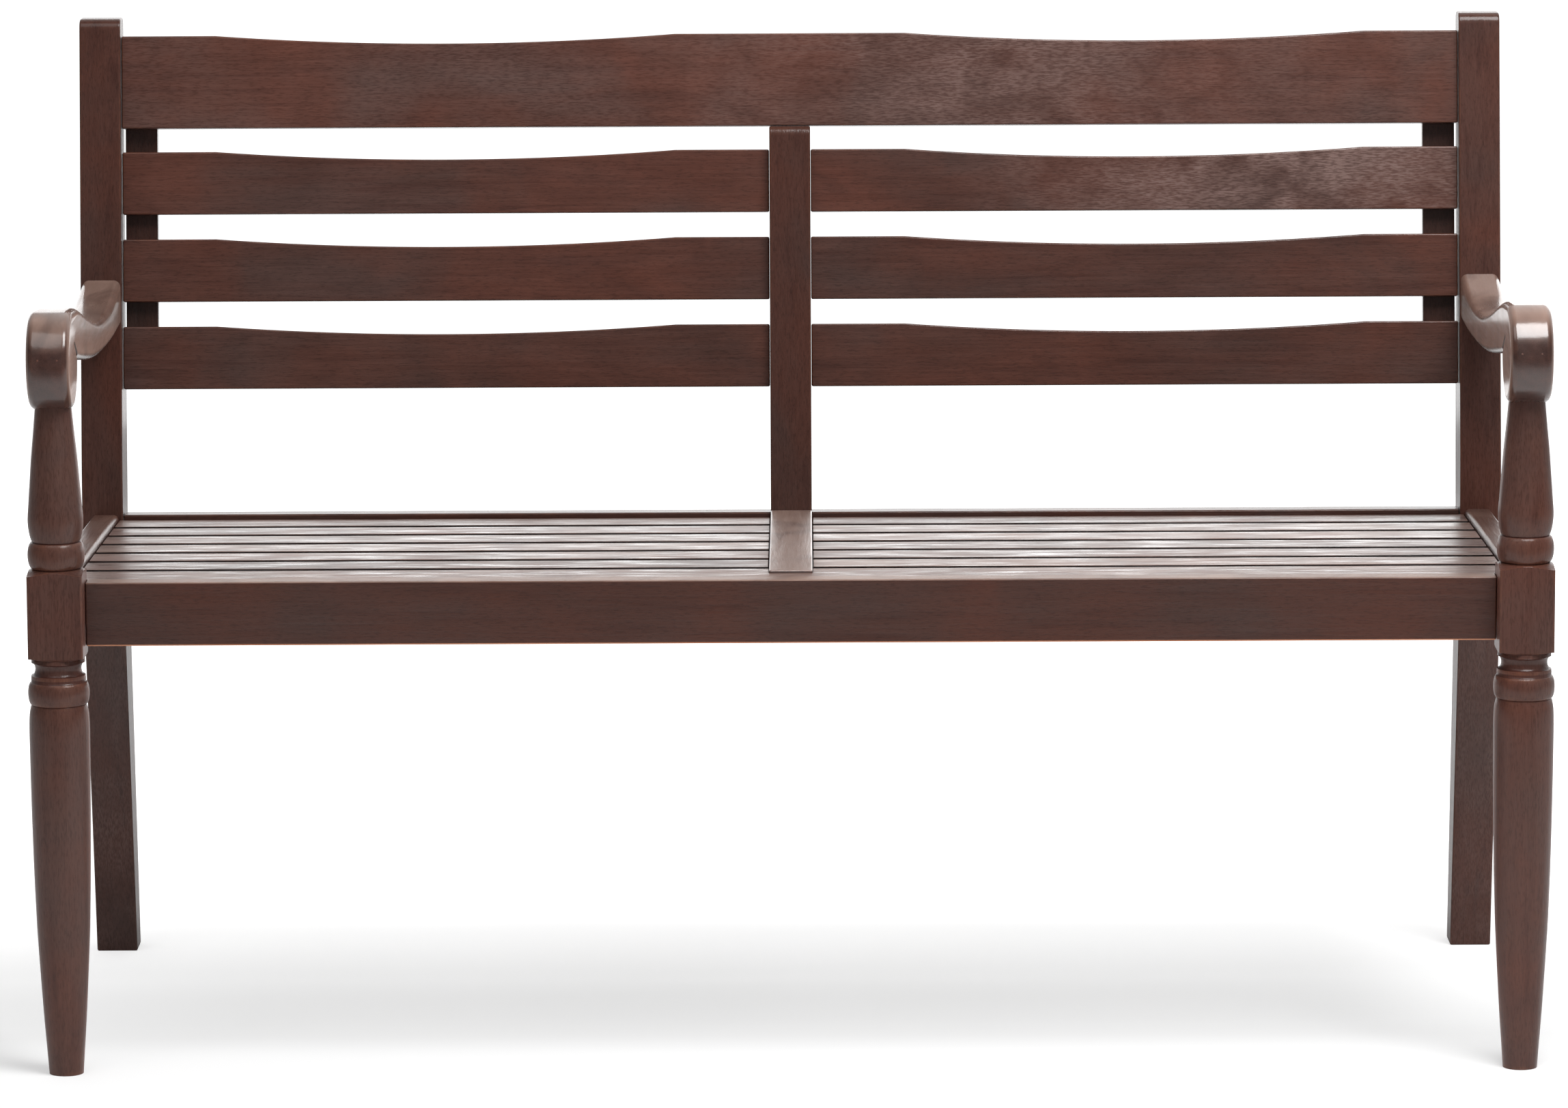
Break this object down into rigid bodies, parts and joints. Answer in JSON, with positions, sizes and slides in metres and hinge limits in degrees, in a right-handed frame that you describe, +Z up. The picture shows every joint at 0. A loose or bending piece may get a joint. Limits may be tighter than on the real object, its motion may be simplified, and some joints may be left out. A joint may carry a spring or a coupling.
{
  "type": "deacons bench",
  "caption": "Hardwood bench with turned front legs, scrolled arms, a slatted seat and a raked back of scooped slats.",
  "frame": {"origin": "middle of the footprint, on the floor", "axes": "+X along the bench, to the right as seen from the front, +Y from the front to the back, +Z up"},
  "size_m": [1.344, 0.5968, 0.8927],
  "materials": {
    "stained_hardwood": "satin",
    "worn_seat_hardwood": "satin",
    "bolt_steel": "satin",
    "screw_brass": "dull"
  },
  "bodies": {
    "root": {"front_leg_left": "stained_hardwood", "front_leg_right": "stained_hardwood", "rear_post_left": "stained_hardwood", "rear_post_right": "stained_hardwood", "arm_left": "stained_hardwood", "arm_right": "stained_hardwood", "arm_pin_left_1": "stained_hardwood", "arm_pin_left_2": "stained_hardwood", "arm_pin_right_1": "stained_hardwood", "arm_pin_right_2": "stained_hardwood", "arm_bolt_left": "bolt_steel", "arm_bolt_right": "bolt_steel", "side_rail_left": "stained_hardwood", "side_rail_right": "stained_hardwood", "side_cleat_left": "stained_hardwood", "side_cleat_right": "stained_hardwood", "front_rail": "stained_hardwood", "rear_rail": "stained_hardwood", "centre_bearer": "stained_hardwood", "front_slat": "worn_seat_hardwood", "seat_board": "worn_seat_hardwood", "seat_slat_left_1": "worn_seat_hardwood", "seat_slat_left_2": "worn_seat_hardwood", "seat_slat_left_3": "worn_seat_hardwood", "seat_slat_left_4": "worn_seat_hardwood", "seat_slat_left_5": "worn_seat_hardwood", "seat_slat_left_6": "worn_seat_hardwood", "seat_slat_right_1": "worn_seat_hardwood", "seat_slat_right_2": "worn_seat_hardwood", "seat_slat_right_3": "worn_seat_hardwood", "seat_slat_right_4": "worn_seat_hardwood", "seat_slat_right_5": "worn_seat_hardwood", "seat_slat_right_6": "worn_seat_hardwood", "crest_rail": "stained_hardwood", "centre_stile": "stained_hardwood", "back_slat_left_1": "stained_hardwood", "back_slat_left_2": "stained_hardwood", "back_slat_left_3": "stained_hardwood", "back_slat_right_1": "stained_hardwood", "back_slat_right_2": "stained_hardwood", "back_slat_right_3": "stained_hardwood", "back_batten_left": "stained_hardwood", "back_batten_right": "stained_hardwood", "batten_screw_left_1": "screw_brass", "batten_screw_left_2": "screw_brass", "batten_screw_left_3": "screw_brass", "batten_screw_left_4": "screw_brass", "batten_screw_right_1": "screw_brass", "batten_screw_right_2": "screw_brass", "batten_screw_right_3": "screw_brass", "batten_screw_right_4": "screw_brass"}
  },
  "joints": []
}
